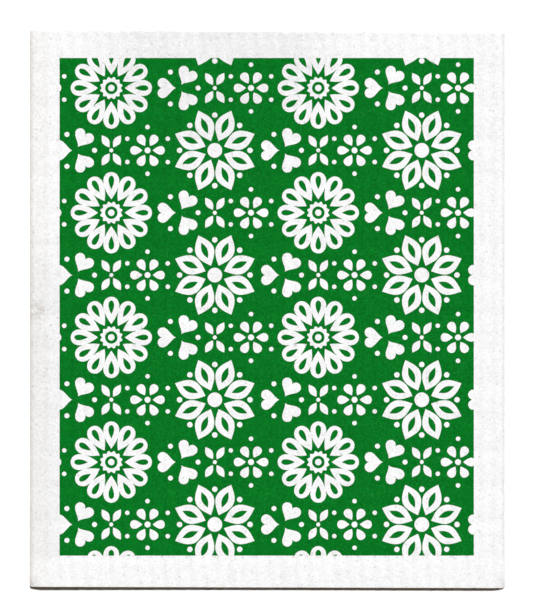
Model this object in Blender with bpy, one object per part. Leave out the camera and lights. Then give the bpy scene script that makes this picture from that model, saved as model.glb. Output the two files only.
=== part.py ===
"""Sponge cloth: one sheet of cellulose and cotton, ribbed on both faces and printed on one.

The sheet lies flat with its printed face up. X runs across the ribs, Y along them, and the
origin is on the surface it lies on, under the middle of the cloth. All sizes are in metres.
"""

import math

import bmesh
import bpy
import numpy as np
from mathutils import Vector
from mathutils.geometry import delaunay_2d_cdt

# The cut sheet. Its top and bottom edges are cut a little off square, as on the real cloth.
CLOTH_WIDTH = 0.170
CLOTH_LENGTH = 0.200
TOP_EDGE_SLANT = 0.0009
BOTTOM_EDGE_SLANT = 0.0005
CORNER_RADIUS = 0.0006
CORNER_STEPS = 3
SHEET_WALL = 0.00165

# Ribs along Y. A crest on one face lies over a furrow of the other, so the wall stays even.
RIB_PITCH = 0.00472
RIB_HEIGHT = 0.00035
RIB_CREST = 0.0014

# Grooves along X, pressed into the printed face
GROOVE_PITCH = 0.01242
GROOVE_WIDTH = 0.0060
GROOVE_DEPTH = 0.00012
FIRST_GROOVE = 0.0025

# The printed field, from each edge of the cloth
MARGIN_LEFT = 0.01055
MARGIN_RIGHT = 0.01095
MARGIN_TOP = 0.0099
MARGIN_BOTTOM = 0.0117

# The print: flower heads in columns, every second column dropped by half a step
FLOWER_STEP_X = 0.0371
FLOWER_STEP_Y = 0.0447
FIRST_ROW = 0.75
DROPPED_ROW = 0.25
HEARTS_PLACE = 0.66
SMALL_FLOWER_PLACE = 0.35

# Its motifs: each one's reach from its middle, and the petals, hubs and dots in it
ROUND_FLOWER = 0.0146
ROUND_PETALS = 12
ROUND_PETAL_START = 0.0048
ROUND_PETAL_WIDTH = 0.0057
ROUND_HUB = 0.0038
ROUND_EYE = 0.0014
POINTED_FLOWER = 0.0154
POINTED_PETALS = 8
POINTED_PETAL_START = 0.0036
POINTED_PETAL_WIDTH = 0.0068
POINTED_HUB = 0.0026
POINTED_DOTS = 0.0126
SMALL_FLOWER = 0.0062
SMALL_PETALS = 6
SMALL_PETAL_START = 0.0019
SMALL_PETAL_WIDTH = 0.0031
SMALL_HUB = 0.0011
HEART = 0.0066
HEARTS = 3
HEART_START = 0.0013
SPRAY_LEAF = 0.0058
SPRAY_LEAF_WIDTH = 0.0024
SPRAY_LEAN = 0.56
DOT = 0.0009

# Points round one outline
PETAL_POINTS = 10
SMALL_PETAL_POINTS = 8
HEART_POINTS = 14
HUB_POINTS = 12
DOT_POINTS = 6

# The heart curve: its waves along its axis, the place of its point, its length and half width
HEART_WAVES = (13, -5, -2, -1)
HEART_TIP = -17
HEART_LENGTH = 29
HEART_HALF_WIDTH = 16

# The greatest value of sin(a) * sin(a / 2), which is the side of a round petal
WIDEST_DROP = 4 / (3 * math.sqrt(3))

# A cut narrower than this beside the edge of the cloth is left out
LEAST_STRIP = 0.0002
CUT_MERGE = 2e-6

# The first two closed outlines that cut the printed face
RIM = 0
FIELD = 1

CREASE_ANGLE = math.radians(40)
CELLULOSE_WHITE = (0.91, 0.91, 0.90, 1.0)
CELLULOSE_ROUGHNESS = 0.9
PRINT_GREEN = (0.002, 0.175, 0.017, 1.0)
PRINT_ROUGHNESS = 0.85


def clear_scene():
    for old in list(bpy.data.objects):
        bpy.data.objects.remove(old, do_unlink=True)


def make_material(name, colour, roughness):
    material = bpy.data.materials.new(name)
    material.use_nodes = True
    shader = material.node_tree.nodes["Principled BSDF"]
    shader.inputs["Base Color"].default_value = colour
    shader.inputs["Roughness"].default_value = roughness
    material.diffuse_color = colour
    return material


# Section of the sheet

def rib_numbers():
    """Numbers of the ribs that cover the cloth, rib 0 starting at its middle."""
    reach = math.ceil(CLOTH_WIDTH / 2 / RIB_PITCH) + 1
    return range(-reach, reach + 1)


def printed_section():
    """(x, z) of the printed face: narrow valleys between crests with a flat top."""
    section = []
    for rib in rib_numbers():
        valley = rib * RIB_PITCH
        crest = valley + RIB_PITCH / 2
        section.append((valley, SHEET_WALL))
        section.append((crest - RIB_CREST / 2, SHEET_WALL + RIB_HEIGHT))
        section.append((crest + RIB_CREST / 2, SHEET_WALL + RIB_HEIGHT))
    return np.array(section)


def under_section():
    """(x, z) of the underside: flat lands that the cloth lies on, under the valleys above."""
    section = []
    for rib in rib_numbers():
        land = rib * RIB_PITCH
        section.append((land - RIB_CREST / 2, 0.0))
        section.append((land + RIB_CREST / 2, 0.0))
        section.append((land + RIB_PITCH / 2, RIB_HEIGHT))
    return np.array(section)


def groove_section():
    """(y, depth) of the cross grooves, from the bottom edge of the cloth to the top one."""
    count = math.ceil(CLOTH_LENGTH / GROOVE_PITCH) + 1
    section = []
    for groove in reversed(range(-1, count)):
        middle = CLOTH_LENGTH / 2 - FIRST_GROOVE - groove * GROOVE_PITCH
        section.append((middle - GROOVE_WIDTH / 2, 0.0))
        section.append((middle, GROOVE_DEPTH))
        section.append((middle + GROOVE_WIDTH / 2, 0.0))
    return np.array(section)


def height_on(section, places):
    return np.interp(places, section[:, 0], section[:, 1])


# Outlines

def turned(point, angle):
    cosine, sine = math.cos(angle), math.sin(angle)
    return Vector((cosine * point.x - sine * point.y, sine * point.x + cosine * point.y))


def rounded_outline(corners, radius, steps):
    """The polygon with its corners rounded by arcs that touch both sides."""
    outline = []
    for here, corner in enumerate(corners):
        to_last = (corners[here - 1] - corner).normalized()
        to_next = (corners[(here + 1) % len(corners)] - corner).normalized()
        half_angle = to_last.angle(to_next) / 2
        centre = corner + (to_last + to_next).normalized() * radius / math.sin(half_angle)
        start = corner + to_last * radius / math.tan(half_angle) - centre
        turn = math.pi - 2 * half_angle
        for step in range(steps + 1):
            angle = turn * step / steps
            outline.append(centre + turned(start, angle))
    return outline


def cloth_outline():
    """Counter-clockwise from the lower left corner."""
    side, end = CLOTH_WIDTH / 2, CLOTH_LENGTH / 2
    corners = [
        Vector((-side, -end + BOTTOM_EDGE_SLANT)),
        Vector((side, -end)),
        Vector((side, end - TOP_EDGE_SLANT)),
        Vector((-side, end)),
    ]
    return rounded_outline(corners, CORNER_RADIUS, CORNER_STEPS)


def print_field():
    left = -CLOTH_WIDTH / 2 + MARGIN_LEFT
    right = CLOTH_WIDTH / 2 - MARGIN_RIGHT
    bottom = -CLOTH_LENGTH / 2 + MARGIN_BOTTOM
    top = CLOTH_LENGTH / 2 - MARGIN_TOP
    return left, right, bottom, top


# Motifs of the print. Each lies along +X from the middle of its flower.

def disc(radius, points):
    return [turned(Vector((radius, 0)), 2 * math.pi * k / points) for k in range(points)]


def round_petal(start, tip, width, points):
    """A drop: pointed at the middle of the flower and round at its tip."""
    middle, reach = (start + tip) / 2, (tip - start) / 2
    outline = []
    for k in range(points):
        angle = 2 * math.pi * k / points
        side = math.sin(angle) * math.sin(angle / 2) / WIDEST_DROP
        outline.append(Vector((middle - reach * math.cos(angle), width / 2 * side)))
    return outline


def leaf(start, tip, width, points):
    """A leaf pointed at both ends."""
    outline = []
    for k in range(points):
        along = 2 * k / points
        side = math.sin(math.pi * along)
        if along > 1:
            along = 2 - along
        outline.append(Vector((start + (tip - start) * along, width / 2 * side)))
    return outline


def heart(size, points):
    """A heart with its point at the origin."""
    outline = []
    for k in range(points):
        angle = 2 * math.pi * k / points
        along = sum(wave * math.cos(turn * angle) for turn, wave in enumerate(HEART_WAVES, 1))
        across = HEART_HALF_WIDTH * math.sin(angle) ** 3
        outline.append(Vector((along - HEART_TIP, across)) * size / HEART_LENGTH)
    return outline


def placed(outline, place, angle=0.0):
    return [place + turned(point, angle) for point in outline]


def moved_out(outline, distance):
    return placed(outline, Vector((distance, 0)))


def ring_of(outline, count, place, first=0.0):
    """The outline repeated round a flower."""
    return [placed(outline, place, first + 2 * math.pi * k / count) for k in range(count)]


def round_flower(place):
    petal = round_petal(ROUND_PETAL_START, ROUND_FLOWER, ROUND_PETAL_WIDTH, PETAL_POINTS)
    middle = [disc(ROUND_HUB, HUB_POINTS), disc(ROUND_EYE, DOT_POINTS)]
    return ring_of(petal, ROUND_PETALS, place) + [placed(outline, place) for outline in middle]


def pointed_flower(place):
    petal = leaf(POINTED_PETAL_START, POINTED_FLOWER, POINTED_PETAL_WIDTH, PETAL_POINTS)
    petals = ring_of(petal, POINTED_PETALS, place, math.pi / POINTED_PETALS)
    dots = ring_of(moved_out(disc(DOT, DOT_POINTS), POINTED_DOTS), POINTED_PETALS, place)
    return petals + dots + [placed(disc(POINTED_HUB, HUB_POINTS), place)]


def small_flower(place):
    petal = round_petal(SMALL_PETAL_START, SMALL_FLOWER, SMALL_PETAL_WIDTH, SMALL_PETAL_POINTS)
    return ring_of(petal, SMALL_PETALS, place) + [placed(disc(SMALL_HUB, DOT_POINTS), place)]


def three_hearts(place):
    hearts = ring_of(moved_out(heart(HEART, HEART_POINTS), HEART_START), HEARTS, place, math.pi)
    dots = ring_of(moved_out(disc(DOT, DOT_POINTS), HEART), HEARTS, place)
    return hearts + dots


def spray(place):
    """Four leaves in two pairs, between two flowers."""
    outline = leaf(DOT, SPRAY_LEAF, SPRAY_LEAF_WIDTH, SMALL_PETAL_POINTS)
    angles = [way + lean for way in (0, math.pi) for lean in (-SPRAY_LEAN, SPRAY_LEAN)]
    return [placed(outline, place, angle) for angle in angles]


def print_outlines():
    """Every motif of the repeat that touches the printed field."""
    left, right, bottom, top = print_field()
    columns = math.ceil((right - left) / FLOWER_STEP_X) + 1
    rows = math.ceil((top - bottom) / FLOWER_STEP_Y) + 1
    outlines = []
    for column in range(-1, columns):
        dropped = column % 2
        first = DROPPED_ROW if dropped else FIRST_ROW
        for row in range(-1, rows):
            place = Vector((left + (column + 0.5) * FLOWER_STEP_X, bottom + (row + first) * FLOWER_STEP_Y))
            halfway = Vector((0, FLOWER_STEP_Y / 2))
            outlines += pointed_flower(place) if dropped else round_flower(place)
            outlines += three_hearts(place + Vector((FLOWER_STEP_X * HEARTS_PLACE, 0)))
            outlines += small_flower(place + halfway + Vector((FLOWER_STEP_X * SMALL_FLOWER_PLACE, 0)))
            outlines += spray(place + halfway)
    return [outline for outline in outlines if touches(outline, print_field())]


def touches(outline, field):
    left, right, bottom, top = field
    across = max(p.x for p in outline) > left and min(p.x for p in outline) < right
    return across and max(p.y for p in outline) > bottom and min(p.y for p in outline) < top


# The two faces and the edge between them

def straight_cuts(columns, rows):
    """End points of lines across the whole cloth, at these places along X and along Y."""
    side, end = CLOTH_WIDTH / 2, CLOTH_LENGTH / 2
    cuts = []
    for x in columns:
        if abs(x) < side - LEAST_STRIP:
            cuts.append((Vector((x, -end - RIB_PITCH)), Vector((x, end + RIB_PITCH))))
    for y in rows:
        if abs(y) < end - LEAST_STRIP:
            cuts.append((Vector((-side - RIB_PITCH, y)), Vector((side + RIB_PITCH, y))))
    return cuts


def cut_face(cuts, outlines):
    """Cuts the area of the first outline by the lines and the other outlines.

    Gives its points, and its triangles with the outlines that each lies in.
    """
    points = [point for cut in cuts for point in cut]
    edges = [(2 * k, 2 * k + 1) for k in range(len(cuts))]
    loops = []
    for loop in outlines:
        loops.append(list(range(len(points), len(points) + len(loop))))
        points += loop
    points, _, faces, _, _, inside = delaunay_2d_cdt(points, edges, loops, 0, CUT_MERGE, True)
    return points, [(face, loops_in) for face, loops_in in zip(faces, inside) if RIM in loops_in]


def is_green(loops_in):
    """In the printed field, and in no motif or in one that lies inside another."""
    return FIELD in loops_in and len(loops_in) % 2 == 0


def add_face_of_cloth(mesh, points, triangles, height, faces_up):
    used = sorted({corner for triangle, _ in triangles for corner in triangle})
    made = {k: mesh.verts.new((points[k].x, points[k].y, height(points[k]))) for k in used}
    for triangle, loops_in in triangles:
        order = triangle if faces_up else triangle[::-1]
        mesh.faces.new([made[k] for k in order]).material_index = int(is_green(loops_in))
    return list(made.values())


def rim_of(verts):
    """The points on the open edge of one face, in order round the cloth."""
    rim = [v for v in verts if any(edge.is_boundary for edge in v.link_edges)]
    return sorted(rim, key=lambda v: math.atan2(v.co.y, v.co.x))


def close_edge(mesh, upper, lower):
    """Joins the two rims, always going on to whichever rim's next point comes first."""
    bearing = [[math.atan2(v.co.y, v.co.x) for v in rim] for rim in (upper, lower)]
    for angles in bearing:
        angles.append(angles[0] + 2 * math.pi)
    i = j = 0
    while i < len(upper) or j < len(lower):
        here = [upper[i % len(upper)], lower[j % len(lower)]]
        step_up = j == len(lower) or (i < len(upper) and bearing[0][i + 1] <= bearing[1][j + 1])
        if step_up:
            i += 1
            mesh.faces.new([upper[i % len(upper)], here[0], here[1]])
        else:
            j += 1
            mesh.faces.new([here[0], here[1], lower[j % len(lower)]])


def build_cloth(white, green):
    ribs, lands, grooves = printed_section(), under_section(), groove_section()
    outline = cloth_outline()
    left, right, bottom, top = print_field()
    field = [Vector(corner) for corner in ((left, bottom), (right, bottom), (right, top), (left, top))]

    def printed_height(point):
        return height_on(ribs, point.x) - height_on(grooves, point.y)

    def under_height(point):
        return height_on(lands, point.x)

    mesh = bmesh.new()
    points, triangles = cut_face(
        straight_cuts(ribs[:, 0], grooves[:, 0]), [outline, field, *print_outlines()]
    )
    above = add_face_of_cloth(mesh, points, triangles, printed_height, True)
    points, triangles = cut_face(straight_cuts(lands[:, 0], []), [outline])
    below = add_face_of_cloth(mesh, points, triangles, under_height, False)
    close_edge(mesh, rim_of(above), rim_of(below))

    data = bpy.data.meshes.new("sponge_cloth")
    mesh.to_mesh(data)
    mesh.free()
    data.materials.append(white)
    data.materials.append(green)
    data.shade_smooth()
    data.set_sharp_from_angle(angle=CREASE_ANGLE)
    cloth = bpy.data.objects.new("sponge_cloth", data)
    bpy.context.scene.collection.objects.link(cloth)


def main():
    clear_scene()
    white = make_material("cellulose", CELLULOSE_WHITE, CELLULOSE_ROUGHNESS)
    green = make_material("print_green", PRINT_GREEN, PRINT_ROUGHNESS)
    build_cloth(white, green)


main()
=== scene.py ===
# %% [markdown]
# # A printed sponge cloth
# A sponge cloth is one dry sheet of cellulose and cotton. It is cast on a ribbed belt, cut to
# size and printed on one face. This lesson models the sheet once more, finer than the plain solid
# that the frame holds, and gives it its fibres, its pores and its ink. It starts from the frame,
# because the frame fixes where the cloth lies and how large it is.

# %% Load the frame
import math

import bpy
import numpy as np
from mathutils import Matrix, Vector, kdtree, noise
from mathutils.geometry import delaunay_2d_cdt


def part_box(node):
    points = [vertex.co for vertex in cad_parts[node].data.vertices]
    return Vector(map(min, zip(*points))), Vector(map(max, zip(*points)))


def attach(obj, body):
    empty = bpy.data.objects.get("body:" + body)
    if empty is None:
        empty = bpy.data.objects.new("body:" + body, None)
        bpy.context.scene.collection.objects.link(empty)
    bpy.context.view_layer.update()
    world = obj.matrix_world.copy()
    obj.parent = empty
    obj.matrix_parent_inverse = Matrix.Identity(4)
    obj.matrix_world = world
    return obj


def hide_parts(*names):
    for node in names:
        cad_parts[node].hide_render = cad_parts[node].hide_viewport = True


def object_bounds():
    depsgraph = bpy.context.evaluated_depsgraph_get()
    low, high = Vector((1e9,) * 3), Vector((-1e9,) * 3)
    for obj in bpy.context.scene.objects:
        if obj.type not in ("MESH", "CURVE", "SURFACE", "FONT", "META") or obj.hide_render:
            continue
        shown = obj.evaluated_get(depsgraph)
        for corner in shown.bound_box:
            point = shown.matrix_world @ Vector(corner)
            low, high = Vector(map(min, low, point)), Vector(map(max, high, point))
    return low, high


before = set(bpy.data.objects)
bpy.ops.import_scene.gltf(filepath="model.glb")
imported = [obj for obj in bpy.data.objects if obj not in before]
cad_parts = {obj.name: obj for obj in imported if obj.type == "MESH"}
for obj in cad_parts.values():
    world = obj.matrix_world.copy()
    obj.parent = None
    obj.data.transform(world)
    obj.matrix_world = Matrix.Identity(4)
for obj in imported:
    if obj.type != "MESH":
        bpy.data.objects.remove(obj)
cad_box = [list(corner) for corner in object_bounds()]
MM = 0.001
print("frame box in mm:", [[round(c / MM, 2) for c in corner] for corner in cad_box])

# %% [markdown]
# ## The camera
# The cloth was pictured from straight above, with hardly any perspective. An orthographic camera
# would do it, but a long lens far away looks the same and keeps a true distance for other views.
# The distance follows from the picture's height, the lens and the scale of the picture.

# %% Camera
PICTURE_WIDTH = 533
PICTURE_HEIGHT = 614
PIXELS_PER_MM = 2.79
CLOTH_MIDDLE_X = 267.25
CLOTH_MIDDLE_Y = 309.3
LENS = 200.0
SENSOR = 36.0

view_height = PICTURE_HEIGHT / PIXELS_PER_MM * MM
camera_data = bpy.data.cameras.new("camera")
camera_data.lens = LENS
camera_data.sensor_width = SENSOR
camera = bpy.data.objects.new("camera", camera_data)
camera.location = (
    (PICTURE_WIDTH / 2 - CLOTH_MIDDLE_X) / PIXELS_PER_MM * MM,
    (CLOTH_MIDDLE_Y - PICTURE_HEIGHT / 2) / PIXELS_PER_MM * MM,
    cad_box[1][2] + view_height * LENS / SENSOR,
)
bpy.context.scene.collection.objects.link(camera)
bpy.context.scene.camera = camera
print("camera stands", round(camera.location.z, 3), "m above the floor")

# %% [markdown]
# ## The sizes
# Everything that follows is worked out from these few sizes. The overall ones come from the
# frame's box, and the ribs, grooves and margins repeat those of the frame's solid, so that the
# fine sheet lies exactly where the plain one does.

# %% Sizes
low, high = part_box("sponge_cloth")
CLOTH_WIDTH = high[0] - low[0]
CLOTH_LENGTH = high[1] - low[1]
TOP_EDGE_SLANT = 0.9 * MM
BOTTOM_EDGE_SLANT = 0.5 * MM
CORNER_RADIUS = 0.6 * MM
RIB_PITCH = 4.72 * MM
RIB_HEIGHT = 0.35 * MM
SHEET_WALL = high[2] - low[2] - RIB_HEIGHT
GROOVE_PITCH = 12.42 * MM
GROOVE_WIDTH = 6.0 * MM
GROOVE_DEPTH = 0.12 * MM
FIRST_GROOVE = 2.5 * MM
MARGIN_LEFT = 10.55 * MM
MARGIN_RIGHT = 10.95 * MM
MARGIN_TOP = 9.9 * MM
MARGIN_BOTTOM = 11.7 * MM
print("sheet wall in mm:", round(SHEET_WALL / MM, 2))

# %% [markdown]
# ## The relief of the sheet
# The belt leaves round ribs on both faces, and rollers press shallow grooves across them. Each
# height is a plain function of the place on the cloth, so any mesh, however it is cut, can be
# lifted to it. A cosine gives the round ribs, and noise adds the slow unevenness of a sheet that
# has dried. The blade presses the ribs flatter along the cut edges and thins the lower corners. The
# lower left of the sheet stands off the table a little, and its left edge is crumpled in one place.

# %% Ribs and grooves
GROOVE_PINCH = 0.6

side, end = CLOTH_WIDTH / 2, CLOTH_LENGTH / 2


def furrow(x):
    """1 in the middle of a furrow of the printed face and 0 on a crest."""
    return 0.5 + 0.5 * np.cos(2 * np.pi * x / RIB_PITCH)


def groove(y):
    """1 along the middle of a cross groove and 0 from its sides on."""
    from_groove = (y - CLOTH_LENGTH / 2 + FIRST_GROOVE) / GROOVE_PITCH
    from_groove = (from_groove - np.round(from_groove)) * GROOVE_PITCH
    pressed = np.clip(1 - np.abs(from_groove) / (GROOVE_WIDTH / 2), 0, 1)
    return np.sin(np.pi / 2 * pressed) ** 2


def deepness(points):
    """1 where the printed face lies deepest: a groove presses the ribs that it crosses."""
    x, y = points[:, 0], points[:, 1]
    return 1 - (1 - furrow(x)) * (1 - GROOVE_PINCH * groove(y))


print("ribs:", round(CLOTH_WIDTH / RIB_PITCH, 1))
print("grooves:", round(CLOTH_LENGTH / GROOVE_PITCH, 1))

# %% Distances on the sheet
def from_edge(points):
    """Distance to the nearest cut edge."""
    x, y = points[:, 0], points[:, 1]
    to_top = end - TOP_EDGE_SLANT * (x + side) / CLOTH_WIDTH - y
    to_bottom = y + end - BOTTOM_EDGE_SLANT * (side - x) / CLOTH_WIDTH
    return np.clip(np.minimum.reduce([side - np.abs(x), to_top, to_bottom]), 0, None)


def near(distance, reach):
    """1 at no distance, falling softly to 0 at the reach."""
    return np.clip(1 - distance / reach, 0, 1) ** 2


def to_lower_corner(points):
    """Distance to the nearer end of the bottom edge."""
    return np.hypot(side - np.abs(points[:, 0]), end + points[:, 1])


print("middle to nearest edge in mm:", round(from_edge(np.zeros((1, 2)))[0] / MM, 1))

# %% Lift and crumple
SLOW_WAVE = 55 * MM
SLOW_LIFT = 0.08 * MM
SLOW_START = 0.2
SLOW_LAYER = 3.7
CORNER_LIFT = 0.45 * MM
LIFT_REACH = 95 * MM
CRUMPLE_X = -83.2 * MM
CRUMPLE_Y = -0.2 * MM
CRUMPLE_REACH = 2.4 * MM
CRUMPLE_DEPTH = 0.3 * MM


def cloud(points, size, layer):
    """Smooth noise from -1 to 1 at each point of the cloth, with bumps about this size."""
    return np.array([noise.noise(Vector((x / size, y / size, layer))) for x, y in points])


def lifted(points):
    """How far the dry sheet stands off what it lies on, the same for both faces."""
    to_lower_left = np.hypot(side + points[:, 0], end + points[:, 1])
    slow = SLOW_LIFT * np.clip(cloud(points, SLOW_WAVE, SLOW_LAYER) + SLOW_START, 0, None)
    return slow + CORNER_LIFT * near(to_lower_left, LIFT_REACH)


def crumple(points):
    """A ridge round a pressed hollow."""
    reach = np.hypot(points[:, 0] - CRUMPLE_X, points[:, 1] - CRUMPLE_Y) / CRUMPLE_REACH
    return CRUMPLE_DEPTH * np.sin(2 * np.pi * np.clip(reach, 0, 1)) * (reach - 1)


corner_lift = lifted(np.array([(-side, -end)]))[0]
print("lower left corner stands off by", round(corner_lift / MM, 2), "mm")

# %% Heights of the two faces
EDGE_DROP = 0.03 * MM
EDGE_SOFTNESS = 1.2 * MM
EDGE_PRESS = 0.9
PRESSED_BAND = 4.0 * MM
CORNER_DROP = 1.1 * MM
CORNER_REACH = 5.0 * MM
FINE_WAVE = 5 * MM
FINE_LIFT = 0.03 * MM
FINE_LAYER = 9.1


def printed_height(points):
    """Height of the printed face over what the cloth lies on."""
    x, y = points[:, 0], points[:, 1]
    relief = RIB_HEIGHT * (1 - furrow(x)) - GROOVE_DEPTH * groove(y)
    relief += EDGE_PRESS * near(from_edge(points), PRESSED_BAND) * (RIB_HEIGHT / 2 - relief)
    drop = EDGE_DROP * near(from_edge(points), EDGE_SOFTNESS)
    drop += CORNER_DROP * near(to_lower_corner(points), CORNER_REACH)
    fine = FINE_LIFT * cloud(points, FINE_WAVE, FINE_LAYER)
    uneven = lifted(points) + fine + crumple(points)
    return SHEET_WALL + relief + uneven - drop


def under_height(points):
    """Height of the underside, whose crests lie under the furrows of the printed face."""
    return RIB_HEIGHT * (1 - furrow(points[:, 0])) + lifted(points)


crest_and_furrow = printed_height(np.array([(RIB_PITCH / 2, 0.0), (0.0, 0.0)]))
print("crest and furrow in mm:", np.round(crest_and_furrow / MM, 2).tolist())

# %% [markdown]
# ## The cut edge
# A sheet is cut by a blade, so its outline is a rectangle with slightly rounded corners and no
# hem. The outline is walked in short steps, and each step is nudged by noise, because a blade
# leaves a fibrous edge. The real edge also has a dent on its left and two nicks on its right.

# %% Straight cut
OUTLINE_STEP = 0.6 * MM
CORNER_STEPS = 5


def turned(point, angle):
    cosine, sine = math.cos(angle), math.sin(angle)
    return Vector((cosine * point.x - sine * point.y, sine * point.x + cosine * point.y))


def rounded(corners, radius):
    """The polygon with its corners rounded by arcs."""
    outline = []
    for here, corner in enumerate(corners):
        to_last = (corners[here - 1] - corner).normalized()
        to_next = (corners[(here + 1) % len(corners)] - corner).normalized()
        half = to_last.angle(to_next) / 2
        centre = corner + (to_last + to_next).normalized() * radius / math.sin(half)
        start = corner + to_last * radius / math.tan(half) - centre
        for step in range(CORNER_STEPS + 1):
            outline.append(centre + turned(start, (math.pi - 2 * half) * step / CORNER_STEPS))
    return outline


def in_short_steps(outline, step):
    """The same closed outline with more points on its long sides."""
    points = []
    for a, b in zip(outline, outline[1:] + outline[:1]):
        count = max(1, round((b - a).length / step))
        points += [a.lerp(b, k / count) for k in range(count)]
    return points


sheet_corners = [
    Vector((-side, -end + BOTTOM_EDGE_SLANT)),
    Vector((side, -end)),
    Vector((side, end - TOP_EDGE_SLANT)),
    Vector((-side, end)),
]
straight_cut = in_short_steps(rounded(sheet_corners, CORNER_RADIUS), OUTLINE_STEP)
print("straight cut has", len(straight_cut), "points")

# %% Frayed cut
FRAY = 0.035 * MM
FRAY_LENGTH = 2.2 * MM
FINE_FRAY = 0.6
FINE_FRAY_TIMES = 3
FINE_FRAY_LAYER = 5
DENT_PLACE = 0.4 * MM
DENT_LENGTH = 2.2 * MM
DENT_DEPTH = 0.2 * MM
NICK_PLACES = (-63.2 * MM, -72.9 * MM)
NICK_LENGTH = 0.5 * MM
NICK_DEPTH = 0.3 * MM


def outward(outline):
    """The direction out of a counter-clockwise outline at each of its points."""
    directions = []
    for k, _ in enumerate(outline):
        along = outline[(k + 1) % len(outline)] - outline[k - 1]
        directions.append(Vector((along.y, -along.x)).normalized())
    return directions


def dip(distance, length):
    return max(0.0, 1 - (distance / length) ** 2)


def bite(point):
    """How far a dent or a nick cuts into the edge here."""
    if point.x < 0:
        return DENT_DEPTH * dip(point.y - DENT_PLACE, DENT_LENGTH)
    return sum(NICK_DEPTH * dip(point.y - place, NICK_LENGTH) for place in NICK_PLACES)


def frayed(outline):
    cut = []
    for point, out in zip(outline, outward(outline)):
        fray = noise.noise(Vector((point.x, point.y, 0)) / FRAY_LENGTH)
        finer = Vector((point.x, point.y, FINE_FRAY_LAYER)) / FRAY_LENGTH * FINE_FRAY_TIMES
        fray += FINE_FRAY * noise.noise(finer)
        cut.append(point + out * (FRAY * fray - bite(point)))
    return cut


cut_edge = frayed(straight_cut)
furthest = max((cut - straight).length for cut, straight in zip(cut_edge, straight_cut))
print("cut edge strays by up to", round(furthest / MM, 2), "mm")

# %% [markdown]
# ## Shapes for the print
# The print is flat colour with crisp edges, so it is cut into the mesh as outlines and not
# painted by a texture: it stays sharp however near the camera comes. Four outlines are enough.
# A petal is a drop, a leaf is two arcs, a heart is a known curve, and the rest are discs.

# %% Disc and petal
DOT = 0.9 * MM
PETAL_FULLNESS = 0.65


def disc(radius, points=18, lobes=0, depth=0.0):
    outline = []
    for k in range(points):
        angle = 2 * math.pi * k / points
        reach = radius * (1 - depth * (0.5 + 0.5 * math.cos(lobes * angle)))
        outline.append(turned(Vector((reach, 0)), angle))
    return outline


def petal(start, tip, width, points=22):
    """A drop: pointed at the middle of the flower and round at its tip."""
    middle, reach = (start + tip) / 2, (tip - start) / 2
    outline = []
    for k in range(points):
        angle = 2 * math.pi * k / points
        across = math.sin(angle) * math.sin(angle / 2)
        along = middle - reach * math.cos(angle)
        outline.append(Vector((along, width * PETAL_FULLNESS * across)))
    return outline


print("a petal has", len(petal(0.0, DOT, DOT)), "points and a disc", len(disc(DOT)))

# %% Leaf and heart
HEART_WAVES = (13, -5, -2, -1)
HEART_TIP = -17
HEART_LENGTH = 29
HEART_HALF_WIDTH = 16


def leaf(start, tip, width, points=20):
    outline = []
    for k in range(points):
        along = 2 * k / points
        across = math.sin(math.pi * along)
        if along > 1:
            along = 2 - along
        outline.append(Vector((start + (tip - start) * along, width / 2 * across)))
    return outline


def heart(size, points=26):
    """The heart curve, from its tip along X."""
    outline = []
    for k in range(points):
        angle = 2 * math.pi * k / points
        lobes = sum(wave * math.cos((n + 1) * angle) for n, wave in enumerate(HEART_WAVES))
        across = size * HEART_HALF_WIDTH / HEART_LENGTH * math.sin(angle) ** 3
        outline.append(Vector((size * ((lobes - HEART_TIP) / HEART_LENGTH), across)))
    return outline


print("a leaf has", len(leaf(0.0, DOT, DOT)), "points and a heart", len(heart(DOT)))

# %% Placing
MIDDLE = Vector((0, 0))


def placed(outline, place, angle=0.0):
    return [place + turned(point, angle) for point in outline]


def moved_out(outline, distance):
    return placed(outline, Vector((distance, 0)))


def ring_of(outline, count, place, first=0.0):
    return [placed(outline, place, first + 2 * math.pi * k / count) for k in range(count)]


print("middle and first dot of a ring:", MIDDLE[:], moved_out(disc(DOT), DOT)[0][:])

# %% [markdown]
# ## The flowers
# Each motif is made of rings, and in each ring one outline is repeated round the middle. An
# outline inside another turns the colour back to green, so a petal's slit and a flower's eye are
# simply smaller outlines laid inside. A motif could list the length of each of its parts, but
# shares of a few sizes keep it in shape when one of them changes. So those of a slit are shares
# of its petal's start, of the flower and of the petal's width, and those of an eye or a dot are
# shares of the common dot.

# %% Round flower
PETAL_START = 4.8 * MM
SLIT_POINTS = 14
EYE_POINTS = 24
ROUND_FLOWER = 14.6 * MM
ROUND_PETALS = 12
ROUND_WIDE_AT = 0.75
ROUND_SLIT_START = 1.75
ROUND_SLIT_TIP = 0.91
ROUND_SLIT_WIDTH = 0.36
ROUND_HUB = 0.86
ROUND_HUB_POINTS = 60
ROUND_HUB_WAVE = 0.18
ROUND_EYE = 2.5
ROUND_PUPIL = 1.3


def round_flower(place):
    width = 2 * math.pi * ROUND_FLOWER * ROUND_WIDE_AT / ROUND_PETALS
    motif = ring_of(petal(PETAL_START, ROUND_FLOWER, width), ROUND_PETALS, place)
    slit_start, slit_tip = PETAL_START * ROUND_SLIT_START, ROUND_FLOWER * ROUND_SLIT_TIP
    slit = petal(slit_start, slit_tip, width * ROUND_SLIT_WIDTH, SLIT_POINTS)
    motif += ring_of(slit, ROUND_PETALS, place)
    hub = disc(PETAL_START * ROUND_HUB, ROUND_HUB_POINTS, ROUND_PETALS, ROUND_HUB_WAVE)
    motif.append(placed(hub, place))
    motif.append(placed(disc(DOT * ROUND_EYE, EYE_POINTS), place))
    motif.append(placed(disc(DOT * ROUND_PUPIL), place))
    return motif


print("round flower:", len(round_flower(MIDDLE)), "outlines")

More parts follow.
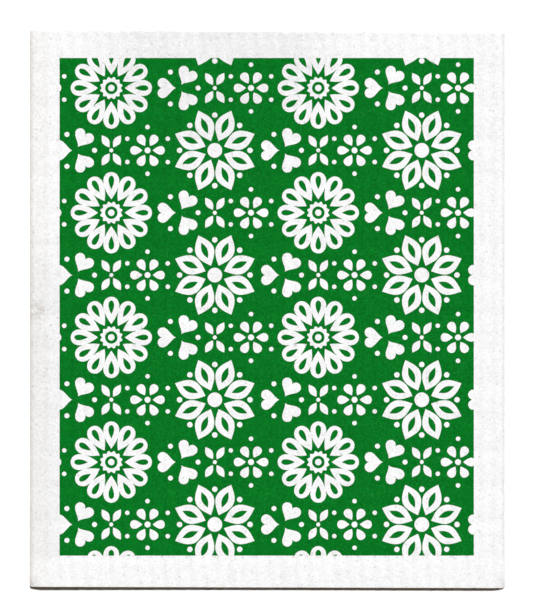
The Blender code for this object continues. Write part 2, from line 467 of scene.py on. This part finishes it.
# %% Pointed flower
POINTED_FLOWER = 15.4 * MM
POINTED_PETALS = 8
POINTED_WIDE_AT = 0.56
POINTED_START = 0.75
POINTED_SLIT_START = 1.35
POINTED_SLIT_TIP = 0.82
POINTED_SLIT_WIDTH = 0.32
POINTED_DOT = 1.1
POINTED_DOTS_AT = 0.82
POINTED_HUB = 0.55


def pointed_flower(place):
    width = 2 * math.pi * POINTED_FLOWER * POINTED_WIDE_AT / POINTED_PETALS
    half_step = math.pi / POINTED_PETALS
    whole = leaf(PETAL_START * POINTED_START, POINTED_FLOWER, width)
    motif = ring_of(whole, POINTED_PETALS, place, half_step)
    slit_start, slit_tip = PETAL_START * POINTED_SLIT_START, POINTED_FLOWER * POINTED_SLIT_TIP
    slit = leaf(slit_start, slit_tip, width * POINTED_SLIT_WIDTH, SLIT_POINTS)
    motif += ring_of(slit, POINTED_PETALS, place, half_step)
    dot = moved_out(disc(DOT * POINTED_DOT), POINTED_FLOWER * POINTED_DOTS_AT)
    motif += ring_of(dot, POINTED_PETALS, place)
    motif.append(placed(disc(PETAL_START * POINTED_HUB, EYE_POINTS), place))
    return motif


print("pointed flower:", len(pointed_flower(MIDDLE)), "outlines")

# %% Small flower
SMALL_FLOWER = 6.2 * MM
SMALL_PETALS = 6
SMALL_START = 0.3
SMALL_HUB = 1.2
SMALL_DOT = 0.9
SMALL_DOTS_AT = 1.35


def small_flower(place):
    whole = petal(SMALL_FLOWER * SMALL_START, SMALL_FLOWER, SMALL_FLOWER / 2)
    motif = ring_of(whole, SMALL_PETALS, place)
    motif.append(placed(disc(DOT * SMALL_HUB), place))
    dot = moved_out(disc(DOT * SMALL_DOT), SMALL_FLOWER * SMALL_DOTS_AT)
    motif += ring_of(dot, SMALL_PETALS, place, math.pi / SMALL_PETALS)
    return motif


print("small flower:", len(small_flower(MIDDLE)), "outlines")

# %% Three hearts
HEART = 6.6 * MM
HEARTS = 3
HEART_START = 0.2


def three_hearts(place):
    motif = ring_of(moved_out(heart(HEART), HEART * HEART_START), HEARTS, place, math.pi)
    motif += ring_of(moved_out(disc(DOT), HEART), HEARTS, place)
    return motif


print("three hearts:", len(three_hearts(MIDDLE)), "outlines")

# %% Spray of leaves
SPRAY_LEAF = 5.8 * MM
SPRAY_START = 1.4
SPRAY_TIP = 1.1
SPRAY_WIDTH = 0.44
SPRAY_DOT = 0.8
SPRAY_LEAN = 0.56


def spray(place, angle):
    """Four leaves in two pairs, with a dot where they meet."""
    outline = leaf(DOT * SPRAY_START, SPRAY_LEAF * SPRAY_TIP, SPRAY_LEAF * SPRAY_WIDTH)
    motif = [placed(disc(DOT * SPRAY_DOT), place)]
    for way in (0, math.pi):
        for lean in (-SPRAY_LEAN, SPRAY_LEAN):
            motif.append(placed(outline, place, angle + way + lean))
    return motif


print("spray:", len(spray(MIDDLE, 0.0)), "outlines")

# %% [markdown]
# ## The repeat
# The flower heads stand in columns, and every second column is dropped by half a step, which is
# how fabric printers keep a pattern from reading as stripes. The printed field cuts through
# whatever crosses its border. Every outline is roughened a little, as ink is on a fibrous sheet.

# %% Field and ink's edge
INK_WOBBLE = 0.05 * MM
INK_WOBBLE_LENGTH = 0.9 * MM
ACROSS_LAYER = Vector((0, 0, 8))
FIELD_STEP = 1.0 * MM

field_left = -side + MARGIN_LEFT
field_right = side - MARGIN_RIGHT
field_bottom = -end + MARGIN_BOTTOM
field_top = end - MARGIN_TOP


def roughened(outline):
    rough = []
    for point in outline:
        at = Vector((point.x, point.y, 0)) / INK_WOBBLE_LENGTH
        nudge = Vector((noise.noise(at), noise.noise(at + ACROSS_LAYER)))
        rough.append(point + nudge * INK_WOBBLE)
    return rough


def in_field(outline):
    """Whether the outline reaches into the printed field."""
    xs, ys = [p.x for p in outline], [p.y for p in outline]
    across = max(xs) > field_left and min(xs) < field_right
    return across and max(ys) > field_bottom and min(ys) < field_top


# %% Print outlines
FLOWER_STEP_X = 37.1 * MM
FLOWER_STEP_Y = 44.7 * MM
FIRST_ROW = 0.75
DROPPED_ROW = 0.25
HEARTS_PLACE = 0.66
SMALL_FLOWER_PLACE = 0.35


def repeat():
    """Every motif of the columns and rows that can reach the field."""
    columns = math.ceil((field_right - field_left) / FLOWER_STEP_X) + 1
    rows = math.ceil((field_top - field_bottom) / FLOWER_STEP_Y) + 1
    motifs = []
    for column in range(-1, columns):
        for row in range(-1, rows):
            dropped = column % 2
            x = field_left + (column + 0.5) * FLOWER_STEP_X
            y = field_bottom + (row + (DROPPED_ROW if dropped else FIRST_ROW)) * FLOWER_STEP_Y
            place = Vector((x, y))
            motifs += pointed_flower(place) if dropped else round_flower(place)
            motifs += three_hearts(place + Vector((FLOWER_STEP_X * HEARTS_PLACE, 0)))
            beside = Vector((FLOWER_STEP_X * SMALL_FLOWER_PLACE, FLOWER_STEP_Y / 2))
            motifs += small_flower(place + beside)
            motifs += spray(place + Vector((0, FLOWER_STEP_Y / 2)), math.pi / 2)
    return motifs


field = [Vector((field_left, field_bottom)), Vector((field_right, field_bottom))]
field += [Vector((field_right, field_top)), Vector((field_left, field_top))]
field = roughened(in_short_steps(field, FIELD_STEP))
print_outlines = [roughened(outline) for outline in repeat() if in_field(outline)]
point_count = sum(map(len, print_outlines))
print("print outlines:", len(print_outlines), "with", point_count, "points")

# %% [markdown]
# ## Cutting the two faces
# A constrained Delaunay triangulation takes loose points and lines and gives triangles that
# respect every line. So the sheet's face gets an even field of points for its relief, and the
# ink's edges run through it as true edges. A point too near an outline is left out, for it would
# only make slivers. Rings of points inside the rim keep the shading of the cut edge from running
# far into the face. Whether a triangle is printed is then counted: a line from it to the right
# meets a closed outline an odd number of times only from within.

# %% Face points and triangles
COLUMNS_PER_RIB = 8
ROWS_PER_GROOVE = 9
UNDER_ROW_STEP = 6 * MM
CLEAR_OF_OUTLINE = 0.28 * MM
CLEAR_OF_EDGE = 1.3 * MM
EDGE_ROUNDING = 0.05 * MM
EDGE_FLARE = 0.18 * MM
RIM_RINGS = (0.1 * MM, 0.45 * MM, 0.85 * MM)
MERGE = 1e-7
KEEP_ALL = 0


def even_points(step_x, step_y):
    """Points over the whole sheet in rows and columns, clear of the cut edge."""
    columns = int(side / step_x)
    rows = int(end / step_y)
    points = []
    for i in range(-columns, columns + 1):
        for j in range(-rows, rows + 1):
            x, y = i * step_x, j * step_y
            if abs(x) < side - CLEAR_OF_EDGE and abs(y) < end - CLEAR_OF_EDGE - TOP_EDGE_SLANT:
                points.append(Vector((x, y)))
    return points


def clear_of(points, outlines):
    """The points that lie well away from every outline."""
    tree_points = [p for outline in outlines for p in outline]
    tree = kdtree.KDTree(len(tree_points))
    for k, p in enumerate(tree_points):
        tree.insert((p.x, p.y, 0), k)
    tree.balance()
    return [p for p in points if tree.find((p.x, p.y, 0))[2] > CLEAR_OF_OUTLINE]


# %% Inside or outside
def within(outline, places):
    """Which of the places lie in the closed outline."""
    x, y = places[:, 0], places[:, 1]
    odd = np.zeros(len(places), bool)
    for a, b in zip(outline, outline[1:] + outline[:1]):
        if a.y != b.y:
            passed = (a.y > y) != (b.y > y)
            odd ^= passed & (x < a.x + (b.x - a.x) * (y - a.y) / (b.y - a.y))
    return odd


# %% Triangulation
def triangulated(outlines, loose):
    """Points and triangles within the first outline, with every outline as a line of edges."""
    points, edges = list(loose), []
    for outline in outlines:
        numbers = list(range(len(points), len(points) + len(outline)))
        edges += list(zip(numbers, numbers[1:] + numbers[:1]))
        points += outline
    points, _, triangles, *_ = delaunay_2d_cdt(points, edges, [], KEEP_ALL, MERGE, False)
    points, triangles = np.array([tuple(p) for p in points]), np.array(triangles)
    return points, triangles[within(outlines[0], points[triangles].mean(1))]


# %% Where the ink lies
def printed_green(places):
    """In the field, and in no motif or in one that lies inside another."""
    motifs_round = np.zeros(len(places), int)
    for outline in print_outlines:
        boxed = ((places > np.min(outline, 0)) & (places < np.max(outline, 0))).all(1)
        motifs_round[boxed] += within(outline, places[boxed])
    return within(field, places) & (motifs_round % 2 == 0)


# %% The two faces
def moved_in(outline, distance):
    return [point - out * distance for point, out in zip(outline, outward(outline))]


rim = moved_in(cut_edge, EDGE_ROUNDING)
beside_rim = [point for ring in RIM_RINGS for point in moved_in(rim, ring)]
column_step = RIB_PITCH / COLUMNS_PER_RIB
ink_lines = [field, *print_outlines]
top_loose = clear_of(even_points(column_step, GROOVE_PITCH / ROWS_PER_GROOVE), ink_lines)
top_points, top_triangles = triangulated([rim, *ink_lines], beside_rim + top_loose)
under_loose = even_points(column_step, UNDER_ROW_STEP)
under_points, under_triangles = triangulated([rim], beside_rim + under_loose)
green = printed_green(top_points[top_triangles].mean(1))
print("printed face:", len(top_triangles), "triangles,", sum(green), "of them green")
print("underside:", len(under_triangles), "triangles")

# %% [markdown]
# ## Joining the faces at the edge
# Both faces end on the same rim, so the edge between them is a band of quads. Its two middle
# rows stand a little proud, which rounds the cut the way a soft sheet rounds, and the lower one
# more than the upper, because the blade comes from above and drags the edge outward. Each point
# also keeps how deep in the relief it lies, so that the finishes can paint a little shade into
# the furrows.

# %% Rings and bands
def rim_numbers(points):
    """Where each rim point is among a face's points."""
    tree = kdtree.KDTree(len(points))
    for k, p in enumerate(points):
        tree.insert((p[0], p[1], 0), k)
    tree.balance()
    return [tree.find((p.x, p.y, 0))[1] for p in rim]


def band(above, below):
    """Quads between two rings of points round the sheet."""
    after = range(1 - len(rim), 1)
    return [[above[n], above[k], below[k], below[n]] for k, n in enumerate(after)]


# %% The closed sheet
CELLULOSE, INK, CUT = 0, 1, 2


def sheet_mesh():
    """Both faces and the cut between them as one mesh, with a finish for each triangle."""
    edge_points = np.array([tuple(p) for p in cut_edge])
    foot_points = np.array([tuple(p) for p in moved_in(cut_edge, -EDGE_FLARE)])
    top_z, under_z = printed_height(top_points), under_height(under_points)
    top_rim, under_rim = rim_numbers(top_points), rim_numbers(under_points)
    layers = [
        (top_points, top_z),
        (edge_points, top_z[top_rim] - EDGE_ROUNDING),
        (foot_points, under_z[under_rim] + EDGE_ROUNDING),
        (under_points, under_z),
    ]
    verts = np.concatenate([np.column_stack([points, z]) for points, z in layers])
    starts = np.cumsum([0] + [len(points) for points, _ in layers])
    whole_ring = np.arange(len(rim))
    ring_numbers = (top_rim, whole_ring, whole_ring, under_rim)
    rings = [start + np.array(ring) for start, ring in zip(starts, ring_numbers)]
    walls = [quad for above, below in zip(rings, rings[1:]) for quad in band(above, below)]
    under_faces = starts[3] + under_triangles[:, ::-1]
    mesh = bpy.data.meshes.new("cloth_sheet")
    mesh.from_pydata(verts.tolist(), [], top_triangles.tolist() + walls + under_faces.tolist())
    top_finish = np.where(green, INK, CELLULOSE)
    finishes = [top_finish, [CUT] * len(walls), [CELLULOSE] * len(under_faces)]
    mesh.polygons.foreach_set("material_index", np.concatenate(finishes).astype(int))
    depths = np.zeros(len(verts))
    # How deep each point of the printed face lies, for the painted shade in the furrows.
    depths[:len(top_points)] = deepness(top_points)
    mesh.attributes.new("deepness", "FLOAT", "POINT").data.foreach_set("value", depths)
    mesh.shade_smooth()
    return mesh


cloth = bpy.data.objects.new("cloth_sheet", sheet_mesh())
bpy.context.scene.collection.objects.link(cloth)
print("sheet has", len(cloth.data.polygons), "faces")
print("sheet is sound:", not cloth.data.validate())

# %% [markdown]
# ## Shader groups
# The white sheet, the ink and the cut edge all show the same felt of fibres and the same pores,
# each in its own strength. So these are node groups, built once. They could be laid out on an
# unwrapped map, but felt has no direction that a map would have to follow. So they work on the
# object's own coordinates, in millimetres.

# %% Group and node helpers
def new_group(name, inputs, outputs):
    """A shader node group with its sockets: inputs as name to value, outputs as names."""
    group = bpy.data.node_groups.new(name, "ShaderNodeTree")
    for socket, value in inputs.items():
        made = group.interface.new_socket(socket, in_out="INPUT", socket_type="NodeSocketFloat")
        made.default_value = value
    for socket in outputs:
        group.interface.new_socket(socket, in_out="OUTPUT", socket_type="NodeSocketFloat")
    return group, group.nodes.new("NodeGroupInput"), group.nodes.new("NodeGroupOutput")


def add(tree, kind, settings=None, inputs=None):
    """A node with its settings, its plain inputs set and its linked inputs linked."""
    node = tree.nodes.new(kind)
    for key, value in (settings or {}).items():
        setattr(node, key, value)
    for key, value in (inputs or {}).items():
        if isinstance(value, bpy.types.NodeSocket):
            tree.links.new(value, node.inputs[key])
        else:
            node.inputs[key].default_value = value
    return node


def maths(tree, operation, a, b=0.0, clamp=False):
    settings = {"operation": operation, "use_clamp": clamp}
    return add(tree, "ShaderNodeMath", settings, {0: a, 1: b}).outputs[0]


# %% Places and noise
BEND_DETAIL = 3.0


def millimetres(tree):
    """The object's own coordinates, in millimetres."""
    place = add(tree, "ShaderNodeTexCoord").outputs["Object"]
    inputs = {0: place, "Scale": 1 / MM}
    return add(tree, "ShaderNodeVectorMath", {"operation": "SCALE"}, inputs).outputs[0]


def clouds(tree, place, size, detail, roughness=0.5):
    """Noise about 0, with bumps of this size in millimetres."""
    inputs = {"Vector": place, "Scale": 1 / size, "Detail": detail, "Roughness": roughness}
    value = add(tree, "ShaderNodeTexNoise", None, inputs).outputs["Fac"]
    return maths(tree, "SUBTRACT", value, 0.5)


def bent(tree, place, size, amount):
    """The place moved about by noise, so that cells laid on it have crooked borders."""
    inputs = {"Vector": place, "Scale": 1 / size, "Detail": BEND_DETAIL}
    nudge = add(tree, "ShaderNodeTexNoise", None, inputs).outputs["Color"]
    inputs = {0: nudge, 1: (amount, amount, amount), 2: place}
    return add(tree, "ShaderNodeVectorMath", {"operation": "MULTIPLY_ADD"}, inputs).outputs[0]


# %% Felt of fibres
BROAD_CLOUDS = {"size": 3.2, "detail": 3.0, "roughness": 0.6}
FINE_GRAIN = {"size": 0.72, "detail": 2.0, "roughness": 0.7}
STRAND_BEND = {"size": 0.8, "amount": 1.4}
STRANDS_PER_MM = 1.6
STRAND_WIDTH = 0.12


def felt_group():
    """Tone and Height of matted fibres: broad clouds, with grains and fine strands over them."""
    inputs = {"Clouds": 1.0, "Grain": 1.0, "Strands": 1.0}
    group, given, result = new_group("fibre_felt", inputs, ["Tone", "Height"])
    place = millimetres(group)
    broad = clouds(group, place, **BROAD_CLOUDS)
    broad = maths(group, "MULTIPLY", broad, given.outputs["Clouds"])
    grain = clouds(group, place, **FINE_GRAIN)
    grain = maths(group, "MULTIPLY", grain, given.outputs["Grain"])
    inputs = {"Vector": bent(group, place, **STRAND_BEND), "Scale": STRANDS_PER_MM}
    cells = add(group, "ShaderNodeTexVoronoi", {"feature": "DISTANCE_TO_EDGE"}, inputs)
    between = maths(group, "MINIMUM", cells.outputs["Distance"], STRAND_WIDTH)
    strand = maths(group, "SUBTRACT", STRAND_WIDTH, between)
    strand = maths(group, "MULTIPLY", strand, given.outputs["Strands"])
    uneven = maths(group, "ADD", broad, grain)
    group.links.new(maths(group, "ADD", uneven, strand), result.inputs["Height"])
    group.links.new(maths(group, "SUBTRACT", uneven, strand), result.inputs["Tone"])
    return group


felt = felt_group()
print("group:", felt.name)


# %% Pores
PORE_BEND = {"size": 0.5, "amount": 0.5}
PIT_SOFTNESS = 3.0


def pore_group():
    """Mask of the small pits of a sponge: 1 in a pore and 0 on the sheet's surface."""
    group, given, result = new_group("sponge_pores", {"Size": 1.0, "Share": 0.3}, ["Mask"])
    place = bent(group, millimetres(group), **PORE_BEND)
    scale = maths(group, "DIVIDE", 1.0, given.outputs["Size"])
    inputs = {"Vector": place, "Scale": scale, "Randomness": 1.0}
    pits = add(group, "ShaderNodeTexVoronoi", None, inputs)
    inputs = {"Color": pits.outputs["Color"]}
    picked = add(group, "ShaderNodeSeparateColor", None, inputs).outputs[0]
    wide = maths(group, "SUBTRACT", given.outputs["Share"], picked, True)
    pit = maths(group, "SUBTRACT", wide, pits.outputs["Distance"], True)
    group.links.new(maths(group, "MULTIPLY", pit, PIT_SOFTNESS, True), result.inputs["Mask"])
    return group


pores = pore_group()
print("group:", pores.name)

# %% [markdown]
# ## The three finishes
# Dry cellulose is a matte white that scatters a little light inside itself, which softens its
# ribs. The ink lies in the same fibres, so it keeps their grain and only changes their colour.
# All three are a little darker in the furrows, as painted shade. The cut edge shows the open
# sponge, with closer and deeper pores, a warmer tone and brown painted shade along the bottom,
# which also browns the shadow under that edge. The white carries painted shade too: greyer on
# its left side, near its top and along its right rim, warm and brown along its left edge, and
# brown round the crumple. One grey speck lies near the crumple. Such tints could be painted over
# the white, but that would hide its grain. So each is a tint that the white is multiplied by, and
# the fibres still show through it. Only the top of the crumple is laid over the tints, as plain
# white: a painted highlight.

# %% Colour helpers
SPOT_CORE = 0.5


def shaded(tree, colour, factor):
    """The colour times the factor."""
    inputs = {0: colour, "Scale": factor}
    return add(tree, "ShaderNodeVectorMath", {"operation": "SCALE"}, inputs).outputs[0]


def mixed(tree, factor, colour, other, blend="MIX"):
    """The colour, with as much of the other one blended in as the factor says."""
    settings = {"data_type": "RGBA", "blend_type": blend}
    node = add(tree, "ShaderNodeMix", settings, {"Factor": factor})
    for name, value in (("A", colour), ("B", other)):
        socket = [s for s in node.inputs if s.name == name and s.type == "RGBA"][0]
        if isinstance(value, bpy.types.NodeSocket):
            tree.links.new(value, socket)
        else:
            socket.default_value = value
    return [s for s in node.outputs if s.type == "RGBA"][0]


def ramp(tree, value, start, stop):
    """1 at the start and 0 at the stop, smooth between them."""
    settings = {"interpolation_type": "SMOOTHSTEP"}
    inputs = {"Value": value, "From Min": start, "From Max": stop, "To Min": 1.0, "To Max": 0.0}
    return add(tree, "ShaderNodeMapRange", settings, inputs).outputs["Result"]


def spot(tree, place, uneven, centre, radius):
    """1 in the middle of a round spot and 0 from its border on."""
    inputs = {0: place, 1: (1, 1, 0)}
    flat = add(tree, "ShaderNodeVectorMath", {"operation": "MULTIPLY"}, inputs).outputs[0]
    inputs = {0: flat, 1: (*centre, 0)}
    distance = add(tree, "ShaderNodeVectorMath", {"operation": "DISTANCE"}, inputs)
    distance = maths(tree, "ADD", distance.outputs["Value"], uneven)
    return ramp(tree, distance, radius * SPOT_CORE, radius)


# %% A fibrous finish
FELT_AMOUNTS = {"Clouds": 1.0, "Grain": 3.4, "Strands": 0.8}
# Painted shade: each finish is made a little darker where the relief lies deep, in the furrows.
FURROW_SHADE = 0.005
SCATTER_RADIUS = (0.9 * MM, 0.9 * MM, 0.9 * MM)


def fibrous(name, colour, fleck, roughness, tone_amount, bump, pore_size, pore_share, specular, scatter):
    """A finish of one colour in the tones of the felt, with flecks of another in its pores and
    painted shade in its furrows.
    """
    material = bpy.data.materials.new(name)
    material.use_nodes = True
    tree = material.node_tree
    shader = tree.nodes["Principled BSDF"]
    felt_node = add(tree, "ShaderNodeGroup", {"node_tree": felt}, FELT_AMOUNTS)
    inputs = {"Size": pore_size, "Share": pore_share}
    mask = add(tree, "ShaderNodeGroup", {"node_tree": pores}, inputs).outputs["Mask"]
    depth = add(tree, "ShaderNodeAttribute", {"attribute_name": "deepness"}).outputs["Fac"]
    tone = maths(tree, "MULTIPLY", felt_node.outputs["Tone"], tone_amount)
    # Painted shade in the furrows, from how deep each point lies.
    tone = maths(tree, "SUBTRACT", tone, maths(tree, "MULTIPLY", depth, FURROW_SHADE))
    toned = shaded(tree, colour[:3], maths(tree, "ADD", tone, 1.0))
    tree.links.new(mixed(tree, mask, toned, fleck), shader.inputs["Base Color"])
    height = maths(tree, "SUBTRACT", felt_node.outputs["Height"], mask)
    inputs = {"Strength": 1.0, "Distance": bump, "Height": height}
    bumped = add(tree, "ShaderNodeBump", None, inputs)
    tree.links.new(bumped.outputs["Normal"], shader.inputs["Normal"])
    shader.inputs["Roughness"].default_value = roughness
    shader.inputs["Specular IOR Level"].default_value = specular
    shader.inputs["Subsurface Weight"].default_value = scatter
    shader.inputs["Subsurface Radius"].default_value = SCATTER_RADIUS
    shader.inputs["Subsurface Scale"].default_value = 1.0
    return material


# %% Painted shade and a speck on the white
WHITE = (0.92, 0.92, 0.92, 1)
# Painted shade, grey: the white is darker on its left side, near its top and along its right rim.
GREY_SHADE_TINT = (0.87, 0.87, 0.87, 1)
# Painted shade, warm and a little darker, in a band along the left side.
WARM_SHADE_TINT = (0.859, 0.815, 0.75, 1)
# Painted shade, brown, along the left edge and round the crumple.
BROWN_SHADE_TINT = (0.717, 0.663, 0.62, 1)
SPECK_TINT = (0.27, 0.26, 0.24, 1)
RAGGED = {"size": 3.0, "detail": 3.0}
RAGGED_REACH = 3.0
RAGGED_RIM_SHARE = 0.25
BLOTCHY = {"size": 0.9, "detail": 3.0}
BLOTCHY_REACH = 6.0
# Painted shade in grey on the left side, near the top and along the right rim; the left and right parts
# fade out near the bottom edge.
GREY_FOOT = (-86.0, -93.0)
SHADE_STRIP = (8.0, 14.0)
SHADE_STRIP_TOP = (8.0, 30.0)
SHADE_STRIP_STRENGTH = 0.47
SHADE_PATCH_PLACE = (-18.0, 97.0)
SHADE_PATCH_RADIUS = 52.0
SHADE_PATCH_STRENGTH = 0.56
RIGHT_RIM_SHADE = (0.3, 1.3)
RIGHT_RIM_SHADE_STRENGTH = 0.8
# Painted shade along the left side: a warm band, and a brown rim at the edge itself.
WARM_SHADE_BAND = (5.0, 6.8)
WARM_SHADE_STRENGTH = 0.2
BROWN_SHADE_RIM = (0.5, 1.4)
BROWN_SHADE_RIM_STRENGTH = 0.45
# Painted shade in brown round the crumple.
CRUMPLE_SHADE_RADIUS = 3.8
CRUMPLE_SHADE_STRENGTH = 0.5
# Painted highlight: the crumple's top is turned back to plain white.
CRUMPLE_HIGHLIGHT_RADIUS = 1.3
CRUMPLE_HIGHLIGHT_STRENGTH = 0.7
SPECK_PLACE = (-77.6, -5.7)
SPECK_RADIUS = 0.4
SPECK_STRENGTH = 0.6


def with_painted_shade_and_speck(material):
    """The white with painted shade, greyer on the left, near the top and along the right rim,
    warm and brown along the left edge and brown round the crumple, with a painted highlight on the
    crumple's top and one grey speck.
    """
    tree = material.node_tree
    base = tree.nodes["Principled BSDF"].inputs["Base Color"]
    place = millimetres(tree)
    uneven = maths(tree, "MULTIPLY", clouds(tree, place, **RAGGED), RAGGED_REACH)
    blotchy = maths(tree, "MULTIPLY", clouds(tree, place, **BLOTCHY), BLOTCHY_REACH)
    x, y, _ = add(tree, "ShaderNodeSeparateXYZ", None, {"Vector": place}).outputs
    from_left = maths(tree, "ADD", x, side / MM)
    from_right = maths(tree, "SUBTRACT", side / MM, x)
    ragged = maths(tree, "ADD", from_left, uneven)
    ragged_rim = maths(tree, "ADD", from_left, maths(tree, "MULTIPLY", uneven, RAGGED_RIM_SHARE))
    # Painted shade in grey: a strip on the left side and the right rim, both fading out near the bottom,
    # and a patch near the top.
    above_foot = ramp(tree, y, *GREY_FOOT)
    strip = maths(tree, "MULTIPLY", ramp(tree, ragged, *SHADE_STRIP), ramp(tree, y, *SHADE_STRIP_TOP))
    strip = maths(tree, "MULTIPLY", strip, above_foot)
    patch = spot(tree, place, uneven, SHADE_PATCH_PLACE, SHADE_PATCH_RADIUS)
    right_rim_shade = maths(tree, "MULTIPLY", ramp(tree, from_right, *RIGHT_RIM_SHADE), above_foot)
    crumple_place = (CRUMPLE_X / MM, CRUMPLE_Y / MM)
    # Painted shade round the crumple.
    crumple_shade = spot(tree, place, blotchy, crumple_place, CRUMPLE_SHADE_RADIUS)
    speck = spot(tree, place, 0.0, SPECK_PLACE, SPECK_RADIUS)
    # The tints: painted shade in grey, warm and brown, and the real grey speck.
    shade_and_speck_tints = [
        (strip, SHADE_STRIP_STRENGTH, GREY_SHADE_TINT),
        (patch, SHADE_PATCH_STRENGTH, GREY_SHADE_TINT),
        (right_rim_shade, RIGHT_RIM_SHADE_STRENGTH, GREY_SHADE_TINT),
        # Painted shade along the left side: the warm band and the brown rim.
        (ramp(tree, ragged, *WARM_SHADE_BAND), WARM_SHADE_STRENGTH, WARM_SHADE_TINT),
        (ramp(tree, ragged_rim, *BROWN_SHADE_RIM), BROWN_SHADE_RIM_STRENGTH, BROWN_SHADE_TINT),
        (crumple_shade, CRUMPLE_SHADE_STRENGTH, BROWN_SHADE_TINT),
        (speck, SPECK_STRENGTH, SPECK_TINT),
    ]
    toned = base.links[0].from_socket
    for mask, strength, tint in shade_and_speck_tints:
        toned = mixed(tree, maths(tree, "MULTIPLY", mask, strength), toned, tint, "MULTIPLY")
    # Painted highlight on the crumple's top, laid over the tints as plain white.
    crumple_highlight = spot(tree, place, blotchy, crumple_place, CRUMPLE_HIGHLIGHT_RADIUS)
    crumple_highlight = maths(tree, "MULTIPLY", crumple_highlight, CRUMPLE_HIGHLIGHT_STRENGTH)
    tree.links.new(mixed(tree, crumple_highlight, toned, WHITE), base)
    return material


# %% Brown painted shade at the foot of the cut
# Painted shade: the bottom side of the cut, which faces away from the light, is tinted brown, and its
# bounce browns the shadow under that edge.
FOOT_SHADE_TINT = (0.92, 0.80, 0.68, 1)
BROWN_SHADE_FOOT = (1.0, 3.0)


def with_brown_shade_at_foot(material):
    """The cut, browner along the sheet's bottom edge: painted shade, which also browns the shadow
    under that edge.
    """
    tree = material.node_tree
    base = tree.nodes["Principled BSDF"].inputs["Base Color"]
    up = add(tree, "ShaderNodeSeparateXYZ", None, {"Vector": millimetres(tree)}).outputs["Y"]
    # Painted shade: brown along the bottom side of the cut.
    foot = ramp(tree, maths(tree, "ADD", up, end / MM), *BROWN_SHADE_FOOT)
    tree.links.new(mixed(tree, foot, base.links[0].from_socket, FOOT_SHADE_TINT, "MULTIPLY"), base)
    return material


# %% Materials
GREY_FLECK = (0.735, 0.73, 0.725, 1)
GREEN = (0.0018, 0.172, 0.0155, 1)
PALE_GREEN = (0.022, 0.23, 0.045, 1)
SPONGE = (0.74, 0.71, 0.67, 1)
DARK_SPONGE = (0.45, 0.40, 0.32, 1)

cellulose_white = fibrous(
    "cellulose_white",
    colour=WHITE,
    fleck=GREY_FLECK,
    roughness=0.9,
    tone_amount=0.145,
    bump=0.03 * MM,
    pore_size=1.25,
    pore_share=0.5,
    specular=0.2,
    scatter=0.4,
)
cloth.data.materials.append(with_painted_shade_and_speck(cellulose_white))
green_ink = fibrous(
    "green_ink",
    colour=GREEN,
    fleck=PALE_GREEN,
    roughness=0.8,
    tone_amount=0.34,
    bump=0.03 * MM,
    pore_size=0.7,
    pore_share=0.5,
    specular=0.03,
    scatter=0.0,
)
cloth.data.materials.append(green_ink)
cut_sponge = fibrous(
    "cut_sponge",
    colour=SPONGE,
    fleck=DARK_SPONGE,
    roughness=0.95,
    tone_amount=0.3,
    bump=0.08 * MM,
    pore_size=0.6,
    pore_share=0.6,
    specular=0.1,
    scatter=0.2,
)
cloth.data.materials.append(with_brown_shade_at_foot(cut_sponge))
print("materials:", [m.name for m in cloth.data.materials])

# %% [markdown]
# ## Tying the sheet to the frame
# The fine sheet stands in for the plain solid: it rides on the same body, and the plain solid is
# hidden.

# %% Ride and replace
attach(cloth, "root")
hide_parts("sponge_cloth")

# %% [markdown]
# ## Floor and light
# The cloth lies on plain white. The light comes from beyond its top edge, low enough to throw
# the thin dark line under the bottom edge. A faint, warm sky fills the rest, so that the line is
# dark brown and not black.

# %% Floor
FLOOR_SIZE = 4.0
FLOOR_GAP = 0.02 * MM
FLOOR_WHITE = (0.97, 0.97, 0.97, 1)
FLOOR_CORNERS = ((-1, -1), (1, -1), (1, 1), (-1, 1))

floor_mesh = bpy.data.meshes.new("floor")
half = FLOOR_SIZE / 2
floor_corners = [(half * x, half * y, -FLOOR_GAP) for x, y in FLOOR_CORNERS]
floor_mesh.from_pydata(floor_corners, [], [(0, 1, 2, 3)])
floor = bpy.data.objects.new("floor", floor_mesh)
bpy.context.scene.collection.objects.link(floor)
floor_material = bpy.data.materials.new("white_floor")
floor_material.use_nodes = True
floor_shader = floor_material.node_tree.nodes["Principled BSDF"]
floor_shader.inputs["Base Color"].default_value = FLOOR_WHITE
floor_shader.inputs["Roughness"].default_value = 1.0
floor_shader.inputs["Specular IOR Level"].default_value = 0.0
floor_mesh.materials.append(floor_material)
print("floor:", floor.name, "with", len(floor_mesh.vertices), "corners")

# %% Light
SUN_ELEVATION = math.radians(57.5)
SUN_AZIMUTH = math.radians(9)
SUN_STRENGTH = 3.78
SUN_COLOUR = (0.994, 1.005, 1.018)
SUN_WIDTH = math.radians(8)
SKY_STRENGTH = 0.045
SKY_COLOUR = (1.0, 0.72, 0.48, 1)

sun_data = bpy.data.lights.new("sun", "SUN")
sun_data.energy = SUN_STRENGTH
sun_data.angle = SUN_WIDTH
sun_data.color = SUN_COLOUR
sun = bpy.data.objects.new("sun", sun_data)
toward_sun = Vector((math.sin(SUN_AZIMUTH), math.cos(SUN_AZIMUTH), math.tan(SUN_ELEVATION)))
sun.rotation_euler = toward_sun.to_track_quat("Z", "Y").to_euler()
bpy.context.scene.collection.objects.link(sun)

world = bpy.data.worlds.new("sky")
world.use_nodes = True
world.node_tree.nodes["Background"].inputs["Color"].default_value = SKY_COLOUR
world.node_tree.nodes["Background"].inputs["Strength"].default_value = SKY_STRENGTH
bpy.context.scene.world = world
bpy.context.scene.view_settings.view_transform = "Standard"
print("sun stands", round(math.degrees(SUN_ELEVATION), 1), "degrees high")
